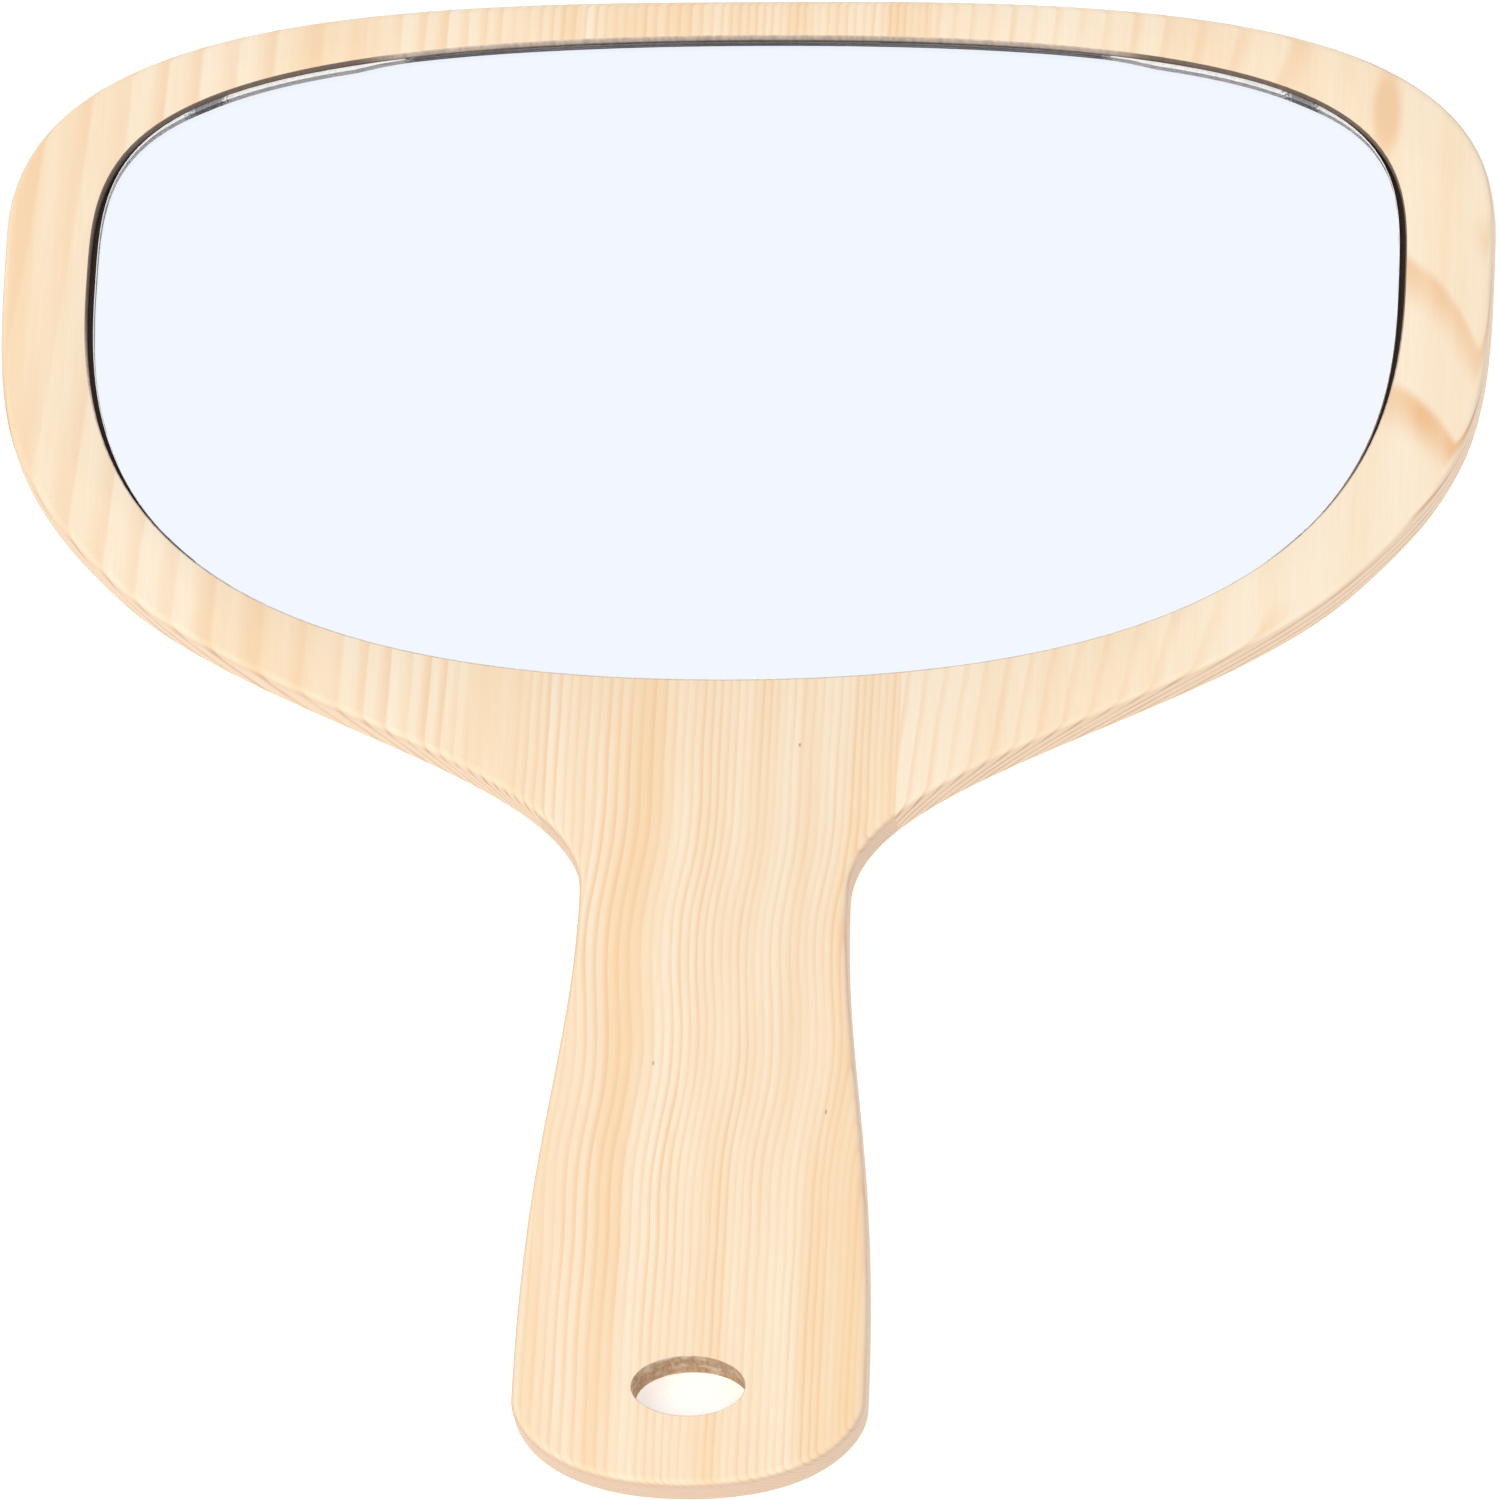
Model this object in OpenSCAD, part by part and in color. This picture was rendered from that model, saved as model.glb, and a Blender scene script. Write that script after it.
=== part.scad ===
// Hand mirror: a wooden paddle, glued up from three boards, with a mirror stuck into a routed pocket.
// It lies on its back: +Z is the way the mirror faces, and the head is towards +Y.
// The origin is the middle of the board's back. Heights along the board are measured from the handle's end.

/* [Board] */
// Widest width of the head
head_w = 250; // [240:5:280]
// Length from the handle's end to the top of the head
body_l = 269; // [267:1:285]
// Thickness of the board
body_t = 7; // [6.5:0.5:12]
// Radius of the rounded-over outer edges
edge_r = 1.5; // [1:0.25:3]
// Height of the head's widest point above the handle's end
widest_y = 226.5; // [222:0.5:232]
// Width of the middle board, which runs the whole length and makes the handle
centre_board_w = 59; // [59:1:90]

/* [Handle] */
// Width of the handle at its waist
waist_w = 44.5; // [36:0.5:50]
// Height of the waist above the handle's end
waist_y = 105.5; // [98:0.5:110]
// Width of the handle at its grip end
grip_w = 58; // [50:1:59]
// Height of the grip's widest point above the handle's end
grip_y = 15.5; // [12:0.5:22]

/* [Hanging hole] */
// Width of the oval hole
hole_w = 18.6; // [10:0.2:24]
// Height of the oval hole
hole_l = 10.4; // [8:0.2:14]
// Height of the hole's centre above the handle's end
hole_y = 17.5; // [14:0.5:24]

/* [Mirror pocket] */
// Width of the pocket
pocket_w = 221; // [200:1:226]
// Top of the pocket above the handle's end
pocket_top_y = 262; // [258:0.5:262]
// Bottom of the pocket above the handle's end
pocket_bottom_y = 143.5; // [140:0.5:150]
// Height of the pocket's widest point above the handle's end
pocket_widest_y = 217.5; // [214:0.5:222]

/* [Mirror] */
// Thickness of the glass
glass_t = 1.2; // [1.1:0.1:2.5]
// Gap between the glass and the pocket's wall on the left and right
side_gap = 1.1; // [0.5:0.05:1.5]
// Gap above the glass
top_gap = 0.45; // [0.3:0.05:1.5]
// Gap below the glass
bottom_gap = 0.4; // [0.3:0.05:1.5]
// Depth of the glass face below the wood's face
glass_drop = 1.1; // [0.5:0.05:1.5]
// Thickness of the silver layer, drawn thicker than the real film
silver_t = 0.05; // [0.02:0.01:0.1]
// Thickness of the backing paint
paint_t = 0.1; // [0.05:0.05:0.2]
// Thickness of the foam tape, pressed down
tape_t = 0.6; // [0.4:0.1:1]
// Width of a strip of tape
tape_w = 18; // [10:1:20]

/* [Hidden] */

// Heights in the stack, from the pocket's floor to the glass face
glass_top_z = body_t - glass_drop;
glass_z = glass_top_z - glass_t;
silver_z = glass_z - silver_t;
paint_z = silver_z - paint_t;
floor_z = paint_z - tape_t;

// The silver and paint stop short of the glass edge, where the pane was ground
coating_inset = 0.4;

// Points along each curve of an outline, and steps round each rounded edge
curve_steps = 12;
edge_steps = 3;
// Points round the oval hole, and how far a cutter runs past what it cuts
hole_steps = 48;
cut = 1;

// Tape strips: the left and right ones stand upright, and the other two lie across
upper_strip_x = 62;
upper_strip_y = 216;
upper_strip_l = 56;
centre_strip_y = 196;
centre_strip_l = 84;
lower_strip_y = 162;
lower_strip_l = 70;

// How far each curve of the board runs on along its end tangent before it turns away
top_pull = 55.5;
shoulder_pull = 42.5;
side_pull = 32;
flank_pull = 33;
neck_pull = 22.5;
waist_pull = 30;
grip_pull = 47;
corner_pull = 5.5;
end_pull = grip_w / 2 - 7;

// The head's flank, below its widest point: where it is, and how steeply it runs down to the neck
half_head = head_w / 2;
flank_in = 22;
flank_y = 161;
flank_slope = 44;
flank = [half_head - flank_in, flank_y];
flank_run = [-cos(flank_slope), -sin(flank_slope)];
flank_corner = [half_head, flank_y + flank_in * tan(flank_slope)];

// Right half of the board's outline, from the top down: each row is a cubic curve's four points
top = [0, body_l];
widest = [half_head, widest_y];
waist = [waist_w / 2, waist_y];
grip = [grip_w / 2, grip_y];
end = [0, 0];
up = [0, 1];
right = [1, 0];
BOARD_CURVES = [
    [top, top + top_pull * right, widest + shoulder_pull * up, widest],
    [widest, widest - side_pull * up, flank_corner, flank],
    [flank, flank + flank_pull * flank_run, waist + neck_pull * up, waist],
    [waist, waist - waist_pull * up, grip + grip_pull * up, grip],
    [grip, grip - corner_pull * up, end + end_pull * right, end]
];

// Right half of an outline that is squarer at its corners, for the pocket and the glass: the larger the pull,
// the squarer the corners
pocket_pull = 23;
pane_pull = 24;
function squarish_curves(half, top_y, bottom_y, pull) =
    let (side = [half, pocket_widest_y], top = [0, top_y], bottom = [0, bottom_y])
    [
        [top, top + half * right, side + pull * up, side],
        [side, side - pull * up, bottom + half * right, bottom]
    ];

BOARD = closed_outline(BOARD_CURVES);
POCKET = closed_outline(squarish_curves(pocket_w / 2, pocket_top_y, pocket_bottom_y, pocket_pull));
PANE = closed_outline(
    squarish_curves(pocket_w / 2 - side_gap, pocket_top_y - top_gap, pocket_bottom_y + bottom_gap, pane_pull)
);

// A point at t on a cubic curve c
function curve_point(c, t) =
    pow(1 - t, 3) * c[0] + 3 * pow(1 - t, 2) * t * c[1] + 3 * (1 - t) * t * t * c[2] + pow(t, 3) * c[3];

// The right half, from the top down, and the same points mirrored back up the left side
function half_outline(curves) = [
    for (c = curves, i = [0 : curve_steps - 1]) curve_point(c, i / curve_steps)
];
function closed_outline(curves) =
    let (half = half_outline(curves), last = curves[len(curves) - 1][3])
    concat(half, [last], [for (i = [len(half) - 1 : -1 : 1]) [-half[i][0], half[i][1]]]);

// The unit normal that points into a clockwise outline at point i
function inward(p, i) =
    let (n = len(p), d = p[(i + 1) % n] - p[(i + n - 1) % n])
    [d[1], -d[0]] / norm(d);

// The outline moved inwards by d
function inset(p, d) = [for (i = [0 : len(p) - 1]) p[i] + d * inward(p, i)];

// Rings of a slab with rounded edges, as [inset, height] from the back face to the front
function edge_rings(t, r) = [
    for (i = [0 : edge_steps]) let (a = 90 * i / edge_steps) [r * (1 - sin(a)), r * (1 - cos(a))],
    for (i = [edge_steps : -1 : 0]) let (a = 90 * i / edge_steps) [r * (1 - sin(a)), t - r * (1 - cos(a))]
];

// A cap over n points that start at index a: triangles in bands straight across the outline
function cap(a, n) = [
    for (i = [0 : n / 2 - 2]) [a + i, a + i + 1, a + n - i - 1],
    for (i = [1 : n / 2 - 1]) [a + i, a + n - i - 1, a + n - i]
];

// A slab of the given outline whose outer edges are rounded over
module rounded_slab(p, t, r) {
    n = len(p);
    rings = edge_rings(t, r);
    points = [for (ring = rings, q = inset(p, ring[0])) [q[0], q[1], ring[1]]];
    sides = [
        for (k = [0 : len(rings) - 2], i = [0 : n - 1])
            let (a = k * n, b = (k + 1) * n, j = (i + 1) % n)
            each [[a + i, a + j, b + j], [a + i, b + j, b + i]]
    ];
    back = [for (c = cap(0, n)) [c[2], c[1], c[0]]];
    front = cap((len(rings) - 1) * n, n);
    polyhedron(points, concat(sides, back, front));
}

// A flat sheet from height z up
module sheet(outline, z, t) {
    translate([0, 0, z]) linear_extrude(t) polygon(outline);
}

// Moves what is measured from the handle's end so that the origin is the middle of the board
module centred() {
    translate([0, -body_l / 2, 0]) children();
}

module tape_strip(centre, size) {
    color("white") centred() translate([centre[0], centre[1], floor_z + tape_t / 2])
        cube([size[0], size[1], tape_t], center = true);
}

// The oval hole's cutter
module hole_cutter() {
    oval = [
        for (i = [0 : hole_steps - 1]) let (a = 360 * i / hole_steps) [hole_w * cos(a), hole_l * sin(a)] / 2
    ];
    translate([0, hole_y]) sheet(oval, -cut, body_t + 2 * cut);
}

// The paddle between x0 and x1, with its pocket and hole
module paddle_between(x0, x1) {
    centred() difference() {
        intersection() {
            rounded_slab(BOARD, body_t, edge_r);
            translate([x0, -cut, -cut]) cube([x1 - x0, body_l + 2 * cut, body_t + 2 * cut]);
        }
        sheet(POCKET, floor_z, body_t);
        hole_cutter();
    }
}

module left_board() {
    color("bisque") paddle_between(-half_head - cut, -centre_board_w / 2);
}

module centre_board() {
    color("burlywood") paddle_between(-centre_board_w / 2, centre_board_w / 2);
}

module right_board() {
    color("wheat") paddle_between(centre_board_w / 2, half_head + cut);
}

module mirror_glass() {
    color("aliceblue", 0.4) centred() sheet(PANE, glass_z, glass_t);
}

module silver_layer() {
    color("silver") centred() sheet(inset(PANE, coating_inset), silver_z, silver_t);
}

module backing_paint() {
    color("slategray") centred() sheet(inset(PANE, coating_inset), paint_z, paint_t);
}

module tape_strip_upper_left() {
    tape_strip([-upper_strip_x, upper_strip_y], [tape_w, upper_strip_l]);
}

module tape_strip_upper_right() {
    tape_strip([upper_strip_x, upper_strip_y], [tape_w, upper_strip_l]);
}

module tape_strip_centre() {
    tape_strip([0, centre_strip_y], [centre_strip_l, tape_w]);
}

module tape_strip_lower() {
    tape_strip([0, lower_strip_y], [lower_strip_l, tape_w]);
}

left_board();
centre_board();
right_board();
mirror_glass();
silver_layer();
backing_paint();
tape_strip_upper_left();
tape_strip_upper_right();
tape_strip_centre();
tape_strip_lower();
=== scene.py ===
"""Looks for the hand mirror: three pine boards, the pane with its silver, and a pale studio.

Shapes are worked out in millimetres in the row frame, whose origin is the middle of the board's back:
+Z is the way the mirror faces, and the head is towards +Y.
"""

import math

import bmesh
import bpy
import numpy as np
from mathutils import Matrix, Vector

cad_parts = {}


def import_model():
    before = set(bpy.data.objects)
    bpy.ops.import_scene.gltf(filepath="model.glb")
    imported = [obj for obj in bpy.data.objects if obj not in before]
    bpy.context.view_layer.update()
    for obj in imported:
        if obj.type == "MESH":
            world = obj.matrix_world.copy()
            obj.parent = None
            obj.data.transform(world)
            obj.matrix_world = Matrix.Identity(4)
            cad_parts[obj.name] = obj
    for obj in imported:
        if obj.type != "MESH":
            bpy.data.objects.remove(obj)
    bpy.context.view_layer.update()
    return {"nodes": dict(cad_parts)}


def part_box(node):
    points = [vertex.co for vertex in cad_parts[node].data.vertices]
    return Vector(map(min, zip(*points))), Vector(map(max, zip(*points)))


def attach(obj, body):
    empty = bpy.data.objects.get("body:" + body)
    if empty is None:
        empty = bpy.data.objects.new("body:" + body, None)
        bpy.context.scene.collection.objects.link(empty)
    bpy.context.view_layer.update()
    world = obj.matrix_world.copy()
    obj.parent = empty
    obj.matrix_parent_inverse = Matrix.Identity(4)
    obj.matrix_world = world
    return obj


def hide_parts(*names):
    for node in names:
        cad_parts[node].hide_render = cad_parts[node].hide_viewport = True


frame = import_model()

MM = 0.001

# ---------------------------------------------------------------------------------------------------------
# Sizes, from the frame
# ---------------------------------------------------------------------------------------------------------


def span(node):
    """The lowest and highest corners of a CAD node, in millimetres."""
    low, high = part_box(node)
    return low / MM, high / MM


centre_low, centre_high = span("centre_board")
right_low, right_high = span("right_board")
glass_low, glass_high = span("mirror_glass")
tape_low, _ = span("tape_strip_centre")

BODY_L = centre_high.y - centre_low.y
BODY_T = centre_high.z
HALF_HEAD = right_high.x
GLUE_X = right_low.x
POCKET_FLOOR = tape_low.z
HANDLE_END = centre_low.y

# ---------------------------------------------------------------------------------------------------------
# Outlines: the same curves as the CAD part's, as points from the top, clockwise
# ---------------------------------------------------------------------------------------------------------

CURVE_STEPS = 40
EDGE_STEPS = 8
EDGE_R = 1.5

# The board's curves, with heights from the handle's end
WIDEST_Y = 226.5
FLANK_IN, FLANK_Y, FLANK_SLOPE = 22, 161, math.radians(44)
WAIST_X, WAIST_Y = 22.25, 105.5
GRIP_X, GRIP_Y = 29, 15.5
TOP_PULL, SHOULDER_PULL, SIDE_PULL, FLANK_PULL = 55.5, 42.5, 32, 33
NECK_PULL, WAIST_PULL, GRIP_PULL, CORNER_PULL, END_PULL = 22.5, 30, 47, 5.5, 22

# The pocket and the hanging hole
POCKET_HALF_W, POCKET_TOP_Y, POCKET_BOTTOM_Y, POCKET_WIDEST_Y = 110.5, 262, 143.5, 217.5
HOLE_HALF_W, HOLE_HALF_L, HOLE_Y = 9.3, 5.2, 17.5
HOLE_STEPS = 96
RIM_EASE = 0.25
HOLE_EASE = 0.1

# How square the corners are: the pane's are a little squarer than the pocket's
POCKET_PULL = 23
PANE_PULL = 24.7


def curve(a, b, c, d):
    """Points along a cubic curve, without its last one."""
    t = np.linspace(0, 1, CURVE_STEPS, endpoint=False)[:, None]
    a, b, c, d = (np.array(p, float) for p in (a, b, c, d))
    return (1 - t) ** 3 * a + 3 * (1 - t) ** 2 * t * b + 3 * (1 - t) * t**2 * c + t**3 * d


def closed(curves):
    """The right half of an outline and its mirror image, with heights from the handle's end."""
    right = np.concatenate([curve(*c) for c in curves])
    last = np.array([curves[-1][3]], float)
    left = right[:0:-1] * (-1, 1)
    return np.concatenate([right, last, left]) + (0, HANDLE_END)


def board_outline():
    """The paddle's shape."""
    top = (0, BODY_L)
    widest = (HALF_HEAD, WIDEST_Y)
    flank_x = HALF_HEAD - FLANK_IN
    flank = (flank_x, FLANK_Y)
    flank_corner = (HALF_HEAD, FLANK_Y + FLANK_IN * math.tan(FLANK_SLOPE))
    flank_run = (flank_x - FLANK_PULL * math.cos(FLANK_SLOPE), FLANK_Y - FLANK_PULL * math.sin(FLANK_SLOPE))
    waist = (WAIST_X, WAIST_Y)
    grip = (GRIP_X, GRIP_Y)
    return closed([
        (top, (TOP_PULL, BODY_L), (HALF_HEAD, WIDEST_Y + SHOULDER_PULL), widest),
        (widest, (HALF_HEAD, WIDEST_Y - SIDE_PULL), flank_corner, flank),
        (flank, flank_run, (WAIST_X, WAIST_Y + NECK_PULL), waist),
        (waist, (WAIST_X, WAIST_Y - WAIST_PULL), (GRIP_X, GRIP_Y + GRIP_PULL), grip),
        (grip, (GRIP_X, GRIP_Y - CORNER_PULL), (END_PULL, 0), (0, 0)),
    ])


def squarish_outline(half, top_y, bottom_y, pull):
    """The pocket's or the pane's shape, with heights from the handle's end."""
    side_y = POCKET_WIDEST_Y
    return closed([
        ((0, top_y), (half, top_y), (half, side_y + pull), (half, side_y)),
        ((half, side_y), (half, side_y - pull), (half, bottom_y), (0, bottom_y)),
    ])


def hole_outline():
    """The hanging hole's oval, clockwise from its top."""
    angles = np.linspace(0, 2 * math.pi, HOLE_STEPS, endpoint=False)
    x, y = HOLE_HALF_W * np.sin(angles), HOLE_HALF_L * np.cos(angles)
    return np.stack([x, HANDLE_END + HOLE_Y + y], axis=1)


def inset(outline, depth):
    """The outline moved inwards by depth, which may be one number or one for each point."""
    along = np.roll(outline, -1, axis=0) - np.roll(outline, 1, axis=0)
    inward = np.stack([along[:, 1], -along[:, 0]], axis=1)
    inward /= np.linalg.norm(inward, axis=1)[:, None]
    return outline + inward * np.reshape(depth, (-1, 1))


def rounded_profile(bottom, top, radius, steps):
    """(inset, height) pairs up a side whose two edges are rounded over."""
    turns = [math.radians(90 * i / steps) for i in range(steps + 1)]
    lower = [(radius * (1 - math.sin(a)), bottom + radius * (1 - math.cos(a))) for a in turns]
    upper = [(radius * (1 - math.sin(a)), top - radius * (1 - math.cos(a))) for a in reversed(turns)]
    return lower + upper


# ---------------------------------------------------------------------------------------------------------
# Meshes
# ---------------------------------------------------------------------------------------------------------

# A face is level when its normal's z, up or down, is more than this
LEVEL = 0.9999
# Smooth shading stops at edges that turn by more than this
CREASE = math.radians(35)


def stacked(outline, profile):
    """A closed solid: the outline repeated at each (inset, height) of the profile, with flat ends.

    The inset and the height may each be one number or one for each point.
    """
    bm = bmesh.new()
    rings = []
    for depth, height in profile:
        heights = np.broadcast_to(height, len(outline)).tolist()
        rings.append([bm.verts.new((x, y, z)) for (x, y), z in zip(inset(outline, depth), heights)])
    for low, high in zip(rings, rings[1:]):
        for i in range(len(low)):
            bm.faces.new((low[i - 1], high[i - 1], high[i], low[i]))
    bm.faces.new(rings[0])
    bm.faces.new(rings[-1][::-1])
    return bm


def keep_between(bm, x0, x1):
    """Cuts the solid off at two upright planes and closes it there."""
    for x, side in ((x0, 1), (x1, -1)):
        geometry = bm.verts[:] + bm.edges[:] + bm.faces[:]
        plane = {"plane_co": (x, 0, 0), "plane_no": (side, 0, 0)}
        bmesh.ops.bisect_plane(bm, geom=geometry, clear_inner=True, **plane)
        bmesh.ops.holes_fill(bm, edges=[e for e in bm.edges if e.is_boundary], sides=0)


def finished(name, bm, materials):
    """An object in metres made of the solid, which is in millimetres."""
    bmesh.ops.scale(bm, vec=(MM, MM, MM), verts=bm.verts)
    bmesh.ops.recalc_face_normals(bm, faces=bm.faces)
    mesh = bpy.data.meshes.new(name)
    bm.to_mesh(mesh)
    bm.free()
    obj = bpy.data.objects.new(name, mesh)
    bpy.context.scene.collection.objects.link(obj)
    for material in materials:
        mesh.materials.append(material)
    return obj


def cut_away(obj, cutters):
    """Takes the cutters out of the object, and leaves it a plain mesh."""
    for cutter in cutters:
        modifier = obj.modifiers.new("cut", "BOOLEAN")
        modifier.operation = "DIFFERENCE"
        modifier.solver = "EXACT"
        modifier.object = cutter
    bpy.context.view_layer.update()
    seen = obj.evaluated_get(bpy.context.evaluated_depsgraph_get())
    mesh = bpy.data.meshes.new_from_object(seen)
    obj.modifiers.clear()
    obj.data = mesh
    mesh.name = obj.name


def soften(mesh):
    """Smooth shading, but flat on level faces and creased at sharp edges."""
    for polygon in mesh.polygons:
        polygon.use_smooth = abs(polygon.normal.z) < LEVEL
    mesh.set_sharp_from_angle(angle=CREASE)


# ---------------------------------------------------------------------------------------------------------
# Materials
# ---------------------------------------------------------------------------------------------------------


class Shader:
    """One material. Each method adds a node and returns the socket that carries its result."""

    def __init__(self, name):
        self.material = bpy.data.materials.new(name)
        self.material.use_nodes = True
        self.nodes = self.material.node_tree.nodes
        self.links = self.material.node_tree.links
        self.surface = self.nodes["Principled BSDF"]

    def put(self, socket, value):
        if isinstance(value, bpy.types.NodeSocket):
            self.links.new(value, socket)
        else:
            socket.default_value = value

    def node(self, kind, inputs, **settings):
        made = self.nodes.new(kind)
        for name, value in settings.items():
            setattr(made, name, value)
        for key, value in inputs.items():
            self.put(made.inputs[key], value)
        return made

    def finish(self, **values):
        """Sets or links the surface's sockets, named with underscores for spaces."""
        for name, value in values.items():
            self.put(self.surface.inputs[name.replace("_", " ")], value)
        return self.material

    def math(self, operation, *values):
        return self.node("ShaderNodeMath", dict(enumerate(values)), operation=operation).outputs[0]

    def vector(self, operation, *values):
        return self.node("ShaderNodeVectorMath", dict(enumerate(values)), operation=operation).outputs[0]

    def place(self):
        """Where a point is, in millimetres."""
        where = self.node("ShaderNodeTexCoord", {}).outputs["Object"]
        return self.vector("MULTIPLY", where, (1 / MM, 1 / MM, 1 / MM))

    def split(self, vector):
        return self.node("ShaderNodeSeparateXYZ", {0: vector}).outputs[:3]

    def join(self, x, y, z):
        return self.node("ShaderNodeCombineXYZ", {0: x, 1: y, 2: z}).outputs[0]

    def noise(self, place, sizes, detail=2.0, roughness=0.5, offset=(0, 0, 0)):
        """Smooth noise, about 0 to 1, whose lumps have these sizes in millimetres along x, y and z."""
        scaled = self.vector("MULTIPLY", place, [1 / size for size in sizes])
        moved = self.vector("ADD", scaled, offset)
        inputs = {"Vector": moved, "Scale": 1.0, "Detail": detail, "Roughness": roughness}
        return self.node("ShaderNodeTexNoise", inputs).outputs

    def smooth(self, value, low, high, to_low=0.0, to_high=1.0):
        """Runs smoothly from to_low at low to to_high at high."""
        inputs = {0: value, 1: low, 2: high, 3: to_low, 4: to_high}
        return self.node("ShaderNodeMapRange", inputs, interpolation_type="SMOOTHSTEP").outputs[0]

    def mix(self, factor, a, b):
        """Runs from colour a at 0 to colour b at 1."""
        made = self.node("ShaderNodeMix", {0: factor}, data_type="RGBA")
        self.put(made.inputs[6], a)
        self.put(made.inputs[7], b)
        return made.outputs[2]

    def bump(self, height, distance):
        inputs = {"Height": height, "Distance": distance, "Strength": 1.0}
        return self.node("ShaderNodeBump", inputs).outputs[0]


def seen(red, green, blue):
    """The base colour that looks like this on screen (0 to 255), on a level face in the studio's light."""
    linear = [((c / 255 + 0.055) / 1.055) ** 2.4 for c in (red, green, blue)]
    return (*(c / LIGHT for c in linear), 1.0)


# How much light the studio sends a level white face, where 1 is white on screen
LIGHT = 1.2

PALE_WOOD = seen(253, 237, 212)
GOLDEN_WOOD = seen(249, 216, 172)
LATEWOOD = seen(241, 193, 143)
# The boards' edges: painted darker than the faces, as shade, with their rings as darker lines
SHADED_SIDE_WOOD = seen(230, 204, 175)
SHADED_SIDE_LATEWOOD = seen(192, 142, 104)
SPECK = seen(176, 134, 98)
MARK_STRENGTH = 0.7

# The grain of the middle board swings to the left over its length, with one quick swing on the way
SWING = 3.7
SWING_LOW, SWING_HIGH = HANDLE_END + 20, HANDLE_END + 150
QUICK_SWING = 1.0
QUICK_MIDDLE, QUICK_LENGTH = HANDLE_END + 86, 48


def swing(s, y):
    """How far to the right of its place at the neck the middle board's grain lies, at a height."""
    slow = s.smooth(y, SWING_LOW, SWING_HIGH, -SWING, 0.0)
    along = s.math("SUBTRACT", y, QUICK_MIDDLE)
    near = s.smooth(s.math("ABSOLUTE", along), 0.3 * QUICK_LENGTH, QUICK_LENGTH, 1.0, 0.0)
    quick = s.math("SINE", s.math("MULTIPLY", along, -2 * math.pi / QUICK_LENGTH))
    return s.math("MULTIPLY_ADD", s.math("MULTIPLY", quick, near), QUICK_SWING, slow)


# The tree's middle sinks by a board's "sink" between these heights
SINK_LOW, SINK_HIGH = HANDLE_END + 60, HANDLE_END + 300


def growth(s, place, tree, seed):
    """How far a point is through its ring, the ring's number, and the distance from the tree's middle."""
    x, y, z = s.split(place)
    half = (0.5, 0.5, 0.5)
    slow = s.noise(place, (60, 75, 40), detail=1.0, offset=(seed, 0, 0))["Color"]
    ripple = s.noise(place, (8, 20, 8), detail=1.0, offset=(0, seed, 0))["Color"]
    sway = s.vector("MULTIPLY", s.vector("SUBTRACT", slow, half), (tree["sway"], 0, 0.25 * tree["sway"]))
    shiver = s.vector("MULTIPLY", s.vector("SUBTRACT", ripple, half), (0.7, 0, 0.1))
    across = s.math("SUBTRACT", x, tree["middle"][0])
    if tree["swings"]:
        across = s.math("SUBTRACT", across, swing(s, y))
    depth = s.math("ADD", s.smooth(y, SINK_LOW, SINK_HIGH, 0.0, tree["sink"]), -tree["middle"][1])
    from_middle = s.join(across, 0.0, s.math("ADD", z, depth))
    moved = s.vector("ADD", from_middle, s.vector("ADD", sway, shiver))
    distance = s.node("ShaderNodeVectorMath", {0: moved}, operation="LENGTH").outputs["Value"]
    count = s.math("MULTIPLY_ADD", distance, 1 / tree["ring"], tree["phase"])
    size, length, start = tree["swell"]
    count = s.math("MULTIPLY_ADD", waver(s, distance, length, start), size, count)
    wander = {"W": distance, "Scale": 0.11, "Detail": 1.0}
    uneven = s.node("ShaderNodeTexNoise", wander, noise_dimensions="1D").outputs[0]
    count = s.math("MULTIPLY_ADD", s.math("SUBTRACT", uneven, 0.5), tree["uneven"], count)
    number = s.math("FLOOR", count)
    return s.math("SUBTRACT", count, number), number, distance


def waver(s, distance, length, start):
    """A sine wave along the distance from the tree's middle."""
    turns = s.math("MULTIPLY", s.math("SUBTRACT", distance, start), 2 * math.pi / length)
    return s.math("SINE", turns)


def spot(s, place, centre, size):
    """1 inside a small ellipse on the face, and 0 outside it."""
    from_centre = s.vector("SUBTRACT", place, (centre[0], HANDLE_END + centre[1], BODY_T))
    scaled = s.vector("DIVIDE", from_centre, (size[0], size[1], 1.0))
    away = s.node("ShaderNodeVectorMath", {0: scaled}, operation="LENGTH").outputs["Value"]
    return s.smooth(away, 0.5, 1.2, 1.0, 0.0)


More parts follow.
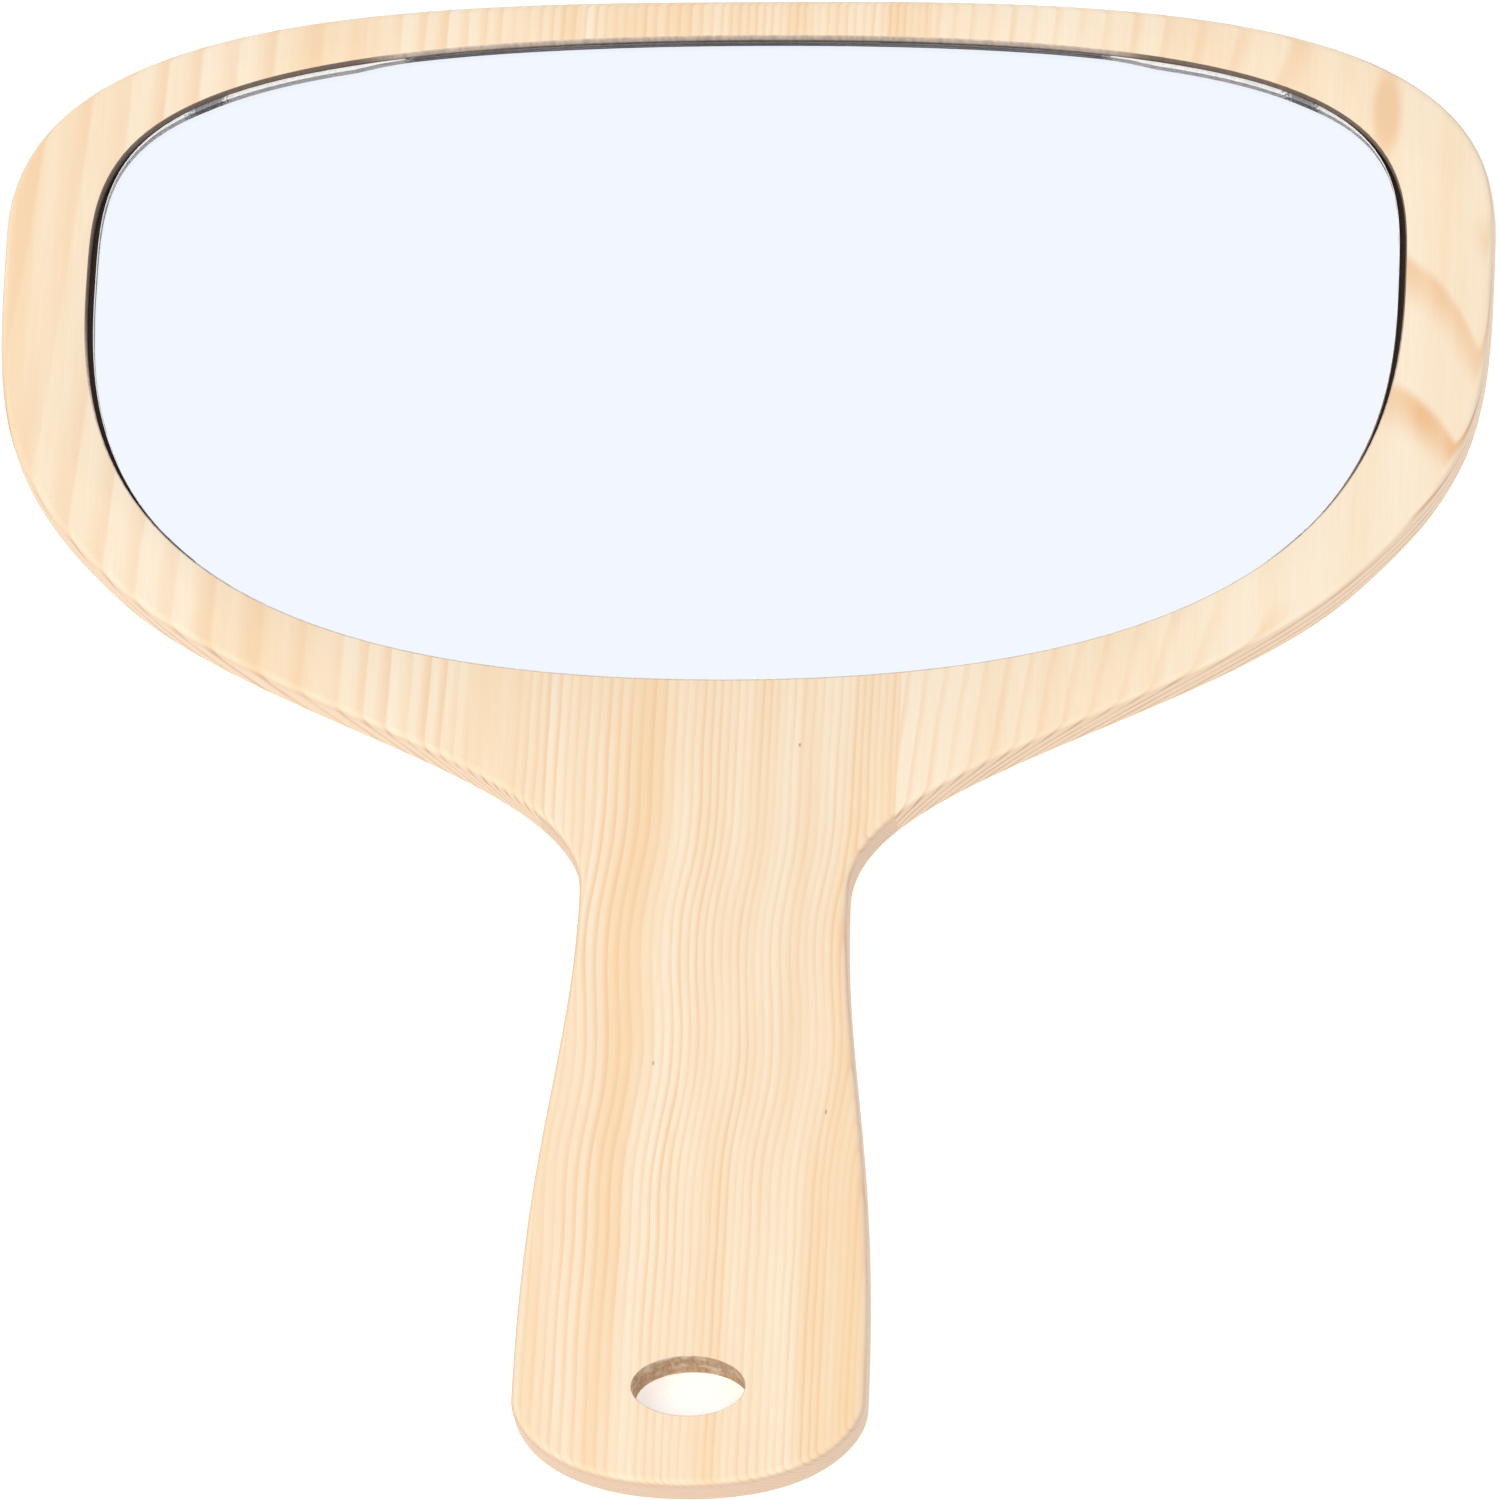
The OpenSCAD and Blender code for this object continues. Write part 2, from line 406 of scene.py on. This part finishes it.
def pine(name, tree, seed):
    """Clear-lacquered pine. tree says how the board was cut and how it looks:

    middle: the tree's middle (x, z), in millimetres
    sink: how much deeper the middle lies at the head's end
    swings: whether the grain swings as the middle board's does
    sway: how far the grain wanders
    ring, phase: the rings' usual width, and how far outwards they are moved
    swell: (size, length, start) of rings that grow wider and narrower in turn
    uneven: how much the rings' widths differ at random
    soft, even: how late in its ring the dark wood starts, and how alike the rings are
    late: (x, strength) at two places, how dark the end of each ring is on the face
    side, side_wood: the same on the board's edges, and the colour there, which is painted darker than the
    face as shade
    tint, tints: how golden the wood is, and the (strength, length, start) of bands of golden wood
    plain: (centre, size) of ellipses on the face that have no rings
    marks: (centre, size, colour) of stains
    """
    s = Shader(name)
    place = s.place()
    x = s.split(place)[0]
    through, number, distance = growth(s, place, tree, seed)

    key = {"W": s.math("ADD", number, seed)}
    own = s.node("ShaderNodeTexWhiteNoise", key, noise_dimensions="1D").outputs[0]
    patchy = s.noise(place, (7, 50, 7), detail=1.0, offset=(seed, seed, 0))[0]
    patchy = s.smooth(patchy, 0.3, 0.65, 0.55, 1.0)
    own = s.math("MULTIPLY", patchy, s.math("MULTIPLY_ADD", own, 1 - tree["even"], tree["even"]))
    fading = s.smooth(through, 0.88, 1.0, 1.0, 0.0)
    late = s.math("MULTIPLY", s.smooth(through, tree["soft"], 0.87), fading)
    (x0, late0), (x1, late1) = tree["late"]
    face_late = s.math("MULTIPLY", s.math("MULTIPLY", late, own), s.smooth(x, x0, x1, late0, late1))
    for centre, size in tree["plain"]:
        face_late = s.math("MULTIPLY", face_late, s.math("SUBTRACT", 1.0, spot(s, place, centre, size)))

    tint = s.noise(place, (5, 90, 5), detail=2.0, offset=(seed, seed, 0))[0]
    tint = s.smooth(tint, 0.2, 0.8, tree["tint"] - 0.25, tree["tint"] + 0.25)
    for strength, length, start in tree["tints"]:
        tint = s.math("MULTIPLY_ADD", waver(s, distance, length, start), strength, tint)
    tint = s.smooth(tint, -0.1, 1.1)
    colour = s.mix(face_late, s.mix(tint, PALE_WOOD, GOLDEN_WOOD), LATEWOOD)

    fibre = s.noise(place, (0.3, 12, 0.3), detail=3.0, roughness=0.65)[0]
    colour = s.mix(s.smooth(fibre, 0.3, 0.75, 0.0, 0.14), colour, LATEWOOD)
    for centre, size, mark in tree["marks"]:
        colour = s.mix(s.math("MULTIPLY", spot(s, place, centre, size), MARK_STRENGTH), colour, mark)

    # Faces that aren't level take the edges' colours: painted shade, with the rings as lines
    nz = s.split(s.node("ShaderNodeNewGeometry", {}).outputs["Normal"])[2]
    on_side = s.smooth(s.math("ABSOLUTE", nz), 0.45, 0.9, 1.0, 0.0)
    crisp = s.math("MULTIPLY", s.smooth(through, 0.5, 0.86), fading)
    side_late = s.math("MULTIPLY", s.math("MULTIPLY", crisp, own), tree["side"])
    colour = s.mix(on_side, colour, s.mix(side_late, tree["side_wood"], SHADED_SIDE_LATEWOOD))

    height = s.math("MULTIPLY_ADD", fibre, 0.5, s.math("MULTIPLY", late, 0.3))
    return s.finish(
        Base_Color=colour,
        Roughness=s.smooth(fibre, 0.2, 0.8, 0.42, 0.54),
        Normal=s.bump(height, 0.00004),
    )


# Over these heights a wall or an edge turns into an upper one
UPPER = (60, 80)
# Over these distances from the middle, the pocket's upper wall turns dark with painted shade
CORNER_SHADE = (58, 68)
# Between these heights the painted shade at the pocket's foot fades out
FOOT_SHADE = (BODY_T - 2.9, BODY_T - 1.3)


def routed_pine(name):
    """The pocket's wall and floor, darkened with painted shade where it is deep and at the upper corners.
    """
    s = Shader(name)
    place = s.place()
    x, y, z = s.split(place)
    chatter = s.noise(place, (0.8, 0.8, 3.0), detail=3.0)[0]
    colour = s.mix(s.smooth(chatter, 0.3, 0.7), seen(226, 206, 192), seen(200, 180, 166))
    aside = s.math("ABSOLUTE", x)
    # Painted shade: the upper wall is darkened towards the corners, where the gap beside the pane looks
    # dark
    corner_shade = s.math("MULTIPLY", s.smooth(aside, *CORNER_SHADE, 0.0, 0.85), s.smooth(y, *UPPER))
    colour = s.mix(corner_shade, colour, seen(92, 70, 58))
    # Painted shade: the deep part of the narrow gap beside the pane is made near black
    colour = s.mix(s.smooth(z, *FOOT_SHADE, 1.0, 0.0), colour, seen(78, 58, 48))
    return s.finish(Base_Color=colour, Roughness=0.75, Normal=s.bump(chatter, 0.0001))


def hole_wood(name):
    """The hole's wall: end grain above and below, a little torn."""
    s = Shader(name)
    place = s.place()
    torn = s.noise(place, (0.5, 0.5, 2.5), detail=4.0, roughness=0.65)[0]
    patch = s.noise(place, (2.5, 2.5, 2.0), detail=1.0)[0]
    colour = s.mix(s.smooth(torn, 0.3, 0.7), seen(224, 192, 158), seen(186, 150, 114))
    colour = s.mix(s.smooth(patch, 0.5, 0.7, 0.0, 0.7), colour, seen(240, 222, 202))
    return s.finish(Base_Color=colour, Roughness=0.8, Normal=s.bump(torn, 0.0002))


def clear_glass():
    s = Shader("float_glass")
    return s.finish(Base_Color=(0.99, 0.993, 0.993, 1), Roughness=0.0, IOR=1.52, Transmission_Weight=1.0)


# How far from the middle the painted dark reflection ends, and where the chips start and end
DARK_REFLECTION_END = (61, 63)
CHIP_START, CHIP_END = (92, 93), (97, 99)


def ground_glass():
    """The pane's ground edge, with a painted dark reflection along the top and chips at the corners."""
    s = Shader("ground_glass_edge")
    place = s.place()
    x, y, _ = s.split(place)
    scratch = s.noise(place, (0.5, 0.5, 0.2), detail=3.0)[0]
    colour = s.mix(s.smooth(scratch, 0.35, 0.65), (1.0, 1.0, 1.0, 1.0), (0.84, 0.86, 0.87, 1.0))
    ragged = s.math("MULTIPLY_ADD", scratch, 6.0, s.math("ABSOLUTE", x))
    # Painted reflection: the top middle of the edge is made slate, for the surroundings seen darker in it
    dark_reflection_and_chips = s.math("MULTIPLY", s.smooth(ragged, *DARK_REFLECTION_END, 1.0, 0.0), s.smooth(y, *UPPER))
    chipped = s.math("MULTIPLY", s.smooth(ragged, *CHIP_START), s.smooth(ragged, *CHIP_END, 0.8, 0.0))
    dark_reflection_and_chips = s.math("MAXIMUM", dark_reflection_and_chips, chipped)
    slate = s.mix(s.smooth(scratch, 0.4, 0.6), seen(84, 86, 94), seen(122, 124, 134))
    colour = s.mix(dark_reflection_and_chips, colour, slate)
    return s.finish(Base_Color=colour, Roughness=0.5, IOR=1.52, Normal=s.bump(scratch, 0.00005))


def silver():
    s = Shader("silver_film")
    return s.finish(Base_Color=(0.98, 0.97, 0.99, 1), Metallic=1.0, Roughness=0.0)


def paint():
    s = Shader("grey_backing_paint")
    mottle = s.noise(s.place(), (2, 2, 2), detail=3.0)[0]
    colour = s.mix(mottle, seen(96, 102, 108), seen(120, 126, 130))
    return s.finish(Base_Color=colour, Roughness=0.6)


def foam():
    s = Shader("white_foam_tape")
    cells = s.noise(s.place(), (0.3, 0.3, 0.3), detail=2.0)[0]
    colour = s.mix(s.smooth(cells, 0.3, 0.7), seen(236, 236, 232), seen(214, 214, 208))
    return s.finish(Base_Color=colour, Roughness=0.85, Normal=s.bump(cells, 0.00005))


# ---------------------------------------------------------------------------------------------------------
# Pieces
# ---------------------------------------------------------------------------------------------------------

BOARD = board_outline()
POCKET = squarish_outline(POCKET_HALF_W, POCKET_TOP_Y, POCKET_BOTTOM_Y, POCKET_PULL)
PANE = squarish_outline(glass_high.x, glass_high.y - HANDLE_END, glass_low.y - HANDLE_END, PANE_PULL)
HOLE = hole_outline()
# How far a cutter runs past what it cuts
OVERRUN = 1

ROUTED = routed_pine("routed_pine")
BORED = hole_wood("bored_pine")
# The order of a board's materials
PINE_SLOT, ROUTED_SLOT, BORED_SLOT = range(3)
# How far a face may be from the hole or the pocket and still count as its wall, and how far in height
HOLE_SLACK, POCKET_SLACK, Z_SLACK = 0.7, 0.6, 0.01
# A face whose normal's z, up or down, is less than this can be the hole's wall
WALL = 0.95


def pocket_cutter():
    """What the router takes out, with a slightly eased rim."""
    top = BODY_T
    profile = [
        (0, POCKET_FLOOR), (0, top - RIM_EASE), (-0.3 * RIM_EASE, top - 0.3 * RIM_EASE), (-RIM_EASE, top),
        (-RIM_EASE - OVERRUN, top + OVERRUN),
    ]
    return finished("pocket_cutter", stacked(POCKET, profile), [])


def hole_cutter():
    """What the hanging hole takes out, with both its edges slightly eased."""
    top, ease = BODY_T, HOLE_EASE
    profile = [
        (-ease - OVERRUN, -OVERRUN), (-ease, 0), (0, ease), (0, top - ease), (-ease, top),
        (-ease - OVERRUN, top + OVERRUN),
    ]
    return finished("hole_cutter", stacked(HOLE, profile), [])


def board(node, x0, x1, wood):
    """One of the three boards: the part of the paddle between x0 and x1."""
    bm = stacked(BOARD, rounded_profile(0, BODY_T, EDGE_R, EDGE_STEPS))
    keep_between(bm, x0, x1)
    obj = finished(node + "_wood", bm, [wood, ROUTED, BORED])
    cutters = [pocket_cutter(), hole_cutter()]
    cut_away(obj, cutters)
    for cutter in cutters:
        bpy.data.objects.remove(cutter)
    for polygon in obj.data.polygons:
        x, y, z = polygon.center / MM
        beside_hole = abs(x) < HOLE_HALF_W + HOLE_SLACK
        over_hole = abs(y - HANDLE_END - HOLE_Y) < HOLE_HALF_L + HOLE_SLACK
        in_hole = beside_hole and over_hole and abs(polygon.normal.z) < WALL
        in_pocket = inside_pocket(x, y) and POCKET_FLOOR - Z_SLACK < z < BODY_T - Z_SLACK
        polygon.material_index = BORED_SLOT if in_hole else ROUTED_SLOT if in_pocket else PINE_SLOT
    soften(obj.data)
    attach(obj, "root")
    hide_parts(node)


def inside_pocket(x, y):
    """Whether a point lies over the pocket, or within its slack."""
    ring = inset(POCKET, -POCKET_SLACK)
    ahead = np.roll(ring, -1, axis=0)
    spans = (ring[:, 1] > y) != (ahead[:, 1] > y)
    with np.errstate(divide="ignore", invalid="ignore"):
        at = ring[:, 0] + (y - ring[:, 1]) * (ahead[:, 0] - ring[:, 0]) / (ahead[:, 1] - ring[:, 1])
    return bool(np.count_nonzero(spans & (at > x)) % 2)


LEFT_TREE = {
    "middle": (-150, -119.5), "sink": -4.3, "swings": False, "sway": 0.8,
    "ring": 1.81, "phase": -85.97, "swell": (3.0, 65, 177), "uneven": 0.4, "soft": 0.25, "even": 0.6,
    "late": ((-110, 0.5), (-60, 0.6)), "side": 0.8, "side_wood": SHADED_SIDE_WOOD,
    "tint": 0.3, "tints": [(0.25, 23, 3)],
    "plain": [((-38, 180), (7, 90))],
    "marks": [],
}
CENTRE_TREE = {
    "middle": (-72.3, -105), "sink": 0, "swings": True, "sway": 0.6,
    "ring": 0.8, "phase": 0, "swell": (0.5, 31, 0), "uneven": 1.5, "soft": 0.3, "even": 0.4,
    # The middle board's edges are painted darker still, as shade
    "late": ((-29, 0.75), (29, 0.6)), "side": 0.4, "side_wood": seen(218, 188, 160),
    "tint": 0.4, "tints": [(0.24, 14, 8.7), (0.2, 18, 17.1), (0.13, 5, 1)],
    "plain": [],
    "marks": [
        ((-8.4, 74.5), (0.2, 0.45), SPECK),
        ((20.4, 65.9), (0.2, 0.5), SPECK),
        ((13.2, 131.6), (0.25, 0.4), SPECK),
    ],
}
RIGHT_TREE = {
    "middle": (106.5, -118), "sink": 10.2, "swings": False, "sway": 0.5,
    "ring": 1.48, "phase": -98.6, "swell": (0, 30, 0), "uneven": 0.3, "soft": 0.5, "even": 0.7,
    "late": ((85, 0.4), (104, 1.3)), "side": 0.9, "side_wood": SHADED_SIDE_WOOD,
    "tint": 0.28, "tints": [(0.15, 19, 0)],
    "plain": [((98, 167), (26, 17)), ((114, 246), (24, 15)), ((122, 236), (14, 13))],
    "marks": [((106.6, 247.5), (2.6, 8.5), LATEWOOD)],
}

board("left_board", -HALF_HEAD - OVERRUN, -GLUE_X, pine("pine_left", LEFT_TREE, seed=3))
board("centre_board", -GLUE_X, GLUE_X, pine("pine_centre", CENTRE_TREE, seed=8))
board("right_board", GLUE_X, HALF_HEAD + OVERRUN, pine("pine_right", RIGHT_TREE, seed=14))

ARRIS = 0.1
# The upper corners of the pane's front edge are ground back further, over these distances from the middle
BEVEL = 0.8
BEVEL_START, BEVEL_RISE = 62, 3
BEVEL_END, BEVEL_FALL = 107, 14
BEVEL_LOW_Y = HANDLE_END + 225
BEVEL_SLOPE = 0.12
# The film reaches this far into the glass, so that no ray slips between the two
SILVER_SINK = 0.02
SILVER_RAG = 0.12


def pane():
    """The glass, clear on its two faces and ground round its edge."""
    bottom, top = glass_low.z, glass_high.z
    out = np.abs(PANE[:, 0])
    upper = PANE[:, 1] > BEVEL_LOW_Y
    rise = np.clip((out - BEVEL_START) / BEVEL_RISE, 0, 1)
    fall = np.clip((BEVEL_END - out) / BEVEL_FALL, 0, 1)
    bevel = ARRIS + (BEVEL - ARRIS) * rise * fall * upper
    profile = [(ARRIS, bottom), (0, bottom + ARRIS), (0, top - BEVEL_SLOPE * bevel), (bevel, top)]
    obj = finished("glass_pane", stacked(PANE, profile), [clear_glass(), ground_glass()])
    for polygon in obj.data.polygons:
        polygon.material_index = 0 if abs(polygon.normal.z) > LEVEL else 1
    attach(obj, "root")
    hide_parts("mirror_glass")


def silver_film():
    """The silver behind the glass, with a slightly ragged edge."""
    low, high = span("silver_layer")
    ragged = SILVER_RAG * np.random.default_rng(5).random(len(PANE))
    edge = inset(PANE, ARRIS + ragged)
    obj = finished("silver_film", stacked(edge, [(0, low.z), (0, high.z + SILVER_SINK)]), [silver()])
    soften(obj.data)
    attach(obj, "root")
    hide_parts("silver_layer")


pane()
silver_film()


def refinish(node, material):
    """A CAD node that keeps its shape gets its own finish."""
    mesh = frame["nodes"][node].data
    mesh.materials.clear()
    mesh.materials.append(material)


FOAM = foam()
refinish("backing_paint", paint())
for strip in ("upper_left", "upper_right", "centre", "lower"):
    refinish("tape_strip_" + strip, FOAM)

# ---------------------------------------------------------------------------------------------------------
# Studio
# ---------------------------------------------------------------------------------------------------------

# The floor's half width, and how far it lies below the board's back
FLOOR_HALF, FLOOR_DROP = 3000, 0.6


def floor():
    """White paper just under the board's back."""
    bm = bmesh.new()
    bmesh.ops.create_grid(bm, x_segments=8, y_segments=8, size=FLOOR_HALF)
    bmesh.ops.translate(bm, vec=(0, 0, -FLOOR_DROP), verts=bm.verts)
    s = Shader("floor_paper")
    material = s.finish(
        Base_Color=(0.9, 0.9, 0.9, 1), Roughness=0.9, Emission_Color=(1, 1, 1, 1), Emission_Strength=0.35)
    obj = finished("floor", bm, [material])


def world():
    made = bpy.data.worlds.new("studio")
    made.use_nodes = True
    background = made.node_tree.nodes["Background"]
    background.inputs["Color"].default_value = (0.90, 0.94, 1.0, 1)
    background.inputs["Strength"].default_value = 1.02
    bpy.context.scene.world = made


def panel(name, place, size, power, colour):
    """A soft square light that points at the object. Its place and size are in metres."""
    data = bpy.data.lights.new(name, "AREA")
    data.shape = "SQUARE"
    data.size = size
    data.energy = power
    data.color = colour
    obj = bpy.data.objects.new(name, data)
    obj.location = place
    back = obj.location.normalized()
    obj.rotation_euler = back.to_track_quat("Z", "Y").to_euler()
    bpy.context.scene.collection.objects.link(obj)


def camera():
    """Looks down at the mirror from beyond the handle's end, a little to the right."""
    elevation, azimuth, roll = (math.radians(a) for a in (65, 15.184, -13.833))
    distance, target = 3007.8, np.array([4.119, -0.664, 0])
    level = np.array([math.sin(azimuth), -math.cos(azimuth), 0])
    back = math.cos(elevation) * level + math.sin(elevation) * np.array([0, 0, 1])
    right = np.array([math.cos(azimuth), math.sin(azimuth), 0])
    up = np.cross(back, right)
    turned_right = math.cos(roll) * right + math.sin(roll) * up
    turned_up = math.cos(roll) * up - math.sin(roll) * right
    data = bpy.data.cameras.new("camera")
    data.lens = 436.9
    data.sensor_width = 36
    data.clip_start = 0.05
    data.clip_end = 50
    obj = bpy.data.objects.new("camera", data)
    turn = Matrix(np.stack([turned_right, turned_up, back], axis=1).tolist()).to_4x4()
    obj.matrix_world = Matrix.Translation((target + distance * back) * MM) @ turn
    bpy.context.scene.collection.objects.link(obj)
    bpy.context.scene.camera = obj


floor()
world()
panel("key", place=(-0.8, -1.2, 2.0), size=2.2, power=27, colour=(1.0, 0.86, 0.65))
camera()
bpy.context.scene.view_settings.view_transform = "Standard"
